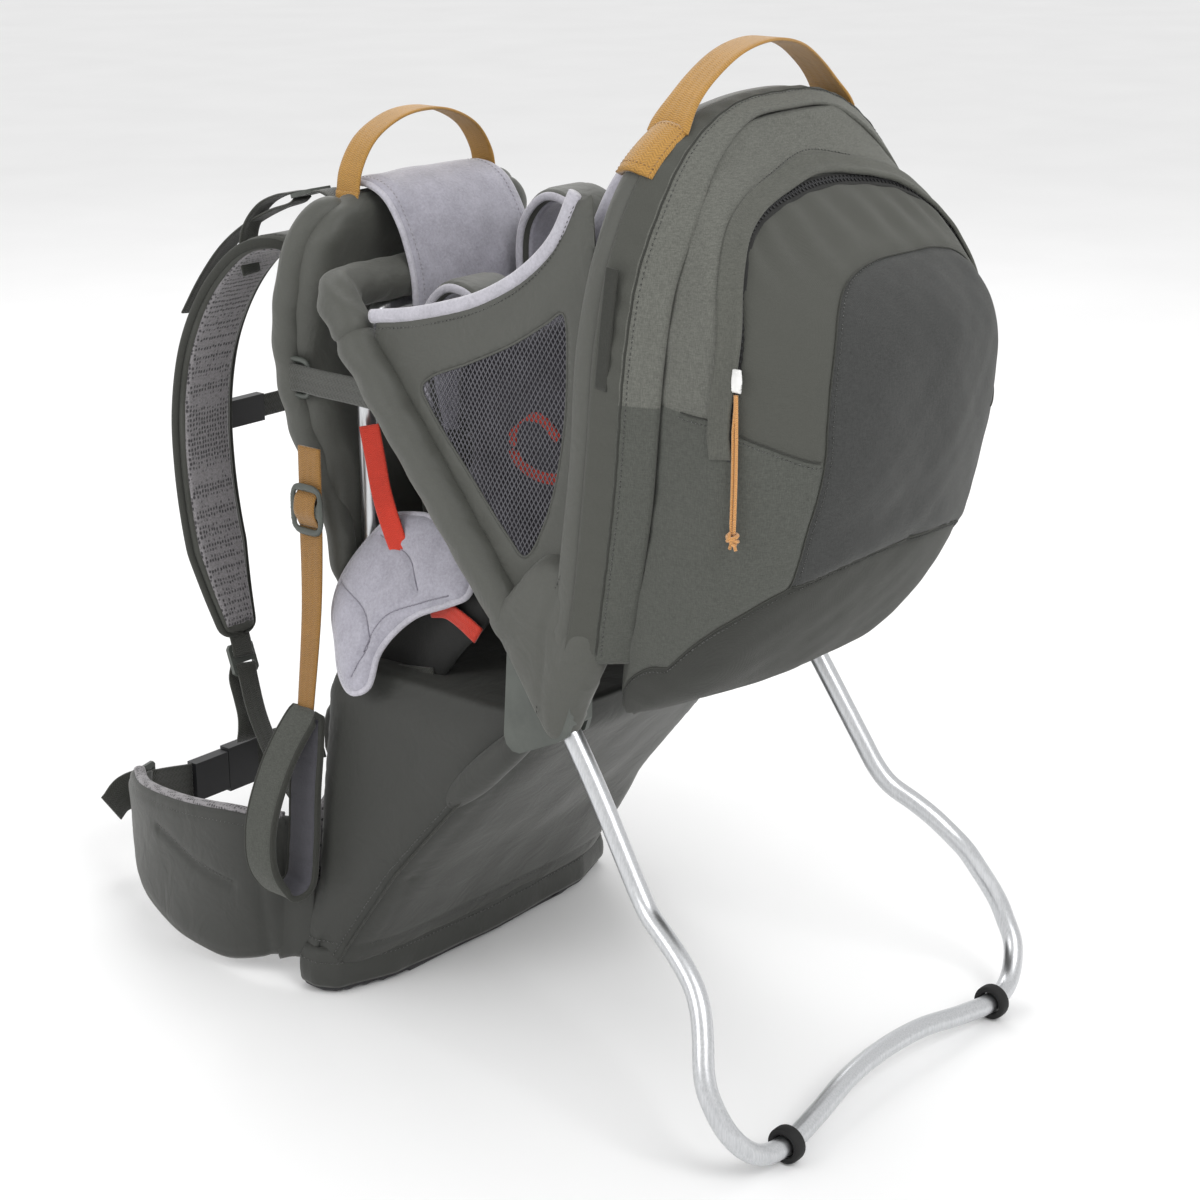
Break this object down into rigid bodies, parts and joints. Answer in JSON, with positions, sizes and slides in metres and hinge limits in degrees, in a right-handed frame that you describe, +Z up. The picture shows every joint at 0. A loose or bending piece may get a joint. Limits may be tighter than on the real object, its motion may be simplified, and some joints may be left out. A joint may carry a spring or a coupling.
{
  "type": "framed child carrier backpack",
  "caption": "Framed backpack for carrying a small child: tube frame, folding kickstand, cockpit with seat and stirrups, padded harness and hip belt, rear cargo pack.",
  "frame": {"origin": "on the ground, at the centre of the footprint's bounding box", "axes": "+Z up; +Y towards the wearer (shoulder straps and hip belt); -Y towards the cargo pack and kickstand; X across, with the middle plane at x = 0"},
  "size_m": [0.4276, 0.7843, 0.7873],
  "materials": {
    "satin_aluminium": "satin drawn tube",
    "steel_pin": "plain steel",
    "bright_metal": "bright die-cast",
    "rubber_black": "matte moulded rubber",
    "hardware_plastic": "moulded acetal, satin",
    "black_plastic": "moulded plastic, matte",
    "satin_cloth": "plain weave nylon with a soft sheen",
    "heather_cloth": "heathered polyester weave, matte",
    "charcoal_cloth": "charcoal brushed polyester",
    "grey_fleece": "light grey brushed fleece",
    "spacer_mesh": "grey three-layer spacer mesh",
    "olive_webbing": "flat woven webbing",
    "ochre_webbing": "flat ribbed webbing, golden brown",
    "tan_cord": "braided cord"
  },
  "bodies": {
    "carrier": {"cockpit_arm_tube": "satin_aluminium", "rear_hoop_tube": "satin_aluminium", "lower_frame_tube": "satin_aluminium", "back_stay_tube": "satin_aluminium", "frame_hub_left": "hardware_plastic", "frame_hub_right": "hardware_plastic", "pivot_pin_left": "steel_pin", "pivot_pin_right": "steel_pin", "arm_sleeve_left": "satin_cloth", "arm_sleeve_right": "satin_cloth", "hoop_sleeve": "satin_cloth", "base_board": "black_plastic", "lower_compartment": "satin_cloth", "back_panel": "satin_cloth", "lumbar_pad": "spacer_mesh", "load_lifter_buckle_left": "hardware_plastic", "load_lifter_buckle_right": "hardware_plastic", "cargo_pack": "heather_cloth", "side_panel_left": "satin_cloth", "side_panel_right": "satin_cloth", "front_handle": "ochre_webbing", "rear_handle": "ochre_webbing", "drool_pad": "grey_fleece", "compression_buckle_left": "hardware_plastic", "compression_buckle_right": "hardware_plastic"},
    "kickstand": {"kickstand_tube": "satin_aluminium", "foot_ring_left": "rubber_black", "foot_ring_right": "rubber_black"},
    "hip_belt_left": {"hip_wing_left": "satin_cloth", "belt_webbing_left": "olive_webbing", "belt_triglide_left": "hardware_plastic", "belt_buckle_prongs": "black_plastic"},
    "hip_belt_right": {"hip_wing_right": "satin_cloth", "belt_webbing_right": "olive_webbing", "belt_buckle_socket": "black_plastic"},
    "shoulder_harness": {"yoke_pad": "satin_cloth", "shoulder_strap_left": "spacer_mesh", "shoulder_strap_right": "spacer_mesh", "load_lifter_webbing_left": "olive_webbing", "load_lifter_webbing_right": "olive_webbing", "lower_strap_buckle_left": "hardware_plastic", "lower_strap_buckle_right": "hardware_plastic", "lower_strap_webbing_left": "olive_webbing", "lower_strap_webbing_right": "olive_webbing"},
    "sternum": {"sternum_strap": "olive_webbing", "sternum_buckle": "hardware_plastic"},
    "seat": {"child_seat": "charcoal_cloth", "seat_wing_left": "grey_fleece", "seat_wing_right": "grey_fleece", "child_harness_pad_left": "grey_fleece", "child_harness_pad_right": "grey_fleece", "child_chest_buckle": "black_plastic"},
    "stirrup_left": {"stirrup_strap_left": "ochre_webbing", "stirrup_buckle_left": "hardware_plastic", "stirrup_loop_left": "heather_cloth"},
    "stirrup_right": {"stirrup_strap_right": "ochre_webbing", "stirrup_buckle_right": "hardware_plastic", "stirrup_loop_right": "heather_cloth"},
    "zip": {"zip_slider": "bright_metal", "zip_pull_cord": "tan_cord"}
  },
  "joints": [
    {"name": "kickstand_fold", "type": "hinge", "parent": "carrier", "child": "kickstand", "pos_m": [0, -0.1709, 0.3], "axis": [1, 0, 0], "range_deg": [0, 55]},
    {"name": "hip_belt_left_open", "type": "hinge", "parent": "carrier", "child": "hip_belt_left", "pos_m": [-0.171, 0.0991, 0.08], "axis": [0, 0, 1], "range_deg": [0, 12]},
    {"name": "hip_belt_right_open", "type": "hinge", "parent": "carrier", "child": "hip_belt_right", "pos_m": [0.171, 0.0991, 0.08], "axis": [0, 0, -1], "range_deg": [0, 12]},
    {"name": "harness_height", "type": "slide", "parent": "carrier", "child": "shoulder_harness", "axis": [0, 0, 1], "range_m": [-0.06, 0]},
    {"name": "sternum_height", "type": "slide", "parent": "shoulder_harness", "child": "sternum", "axis": [0, 0, 1], "range_m": [-0.02, 0.02]},
    {"name": "seat_height", "type": "slide", "parent": "carrier", "child": "seat", "axis": [0, 0, 1], "range_m": [0, 0.03]},
    {"name": "stirrup_left_swing", "type": "hinge", "parent": "carrier", "child": "stirrup_left", "pos_m": [-0.152, 0.0891, 0.462], "axis": [0, 1, 0], "range_deg": [0, 40]},
    {"name": "stirrup_right_swing", "type": "hinge", "parent": "carrier", "child": "stirrup_right", "pos_m": [0.152, 0.0891, 0.462], "axis": [0, -1, 0], "range_deg": [0, 40]},
    {"name": "zip_slide", "type": "slide", "parent": "carrier", "child": "zip", "axis": [0, 0, 1], "range_m": [-0.05, 0]}
  ]
}
